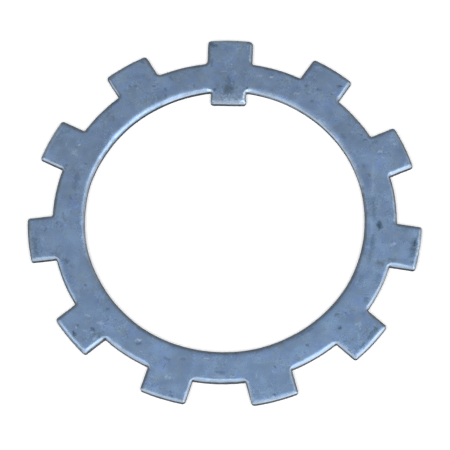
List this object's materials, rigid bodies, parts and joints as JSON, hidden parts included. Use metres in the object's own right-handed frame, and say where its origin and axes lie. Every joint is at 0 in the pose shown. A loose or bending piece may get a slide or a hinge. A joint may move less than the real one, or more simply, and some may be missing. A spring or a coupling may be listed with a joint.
{
  "type": "tab lock washer",
  "caption": "Flat sheet-steel lock washer: square tabs round its rim bend into a slotted shaft nut, and a tongue in its bore keys it to the shaft.",
  "frame": {"origin": "on the axis of the bore, at the flat underside on which the washer lies", "axes": "+Z along the bore's axis, up through the rolled face; +Y through the tongue and the tab in line with it; +X to the right"},
  "size_m": [0.1122, 0.1114, 0.0018],
  "materials": {
    "steel": "dull blue-grey bare steel with faint rolling marks"
  },
  "bodies": {
    "root": {"tab_lock_washer": "steel"}
  },
  "joints": []
}
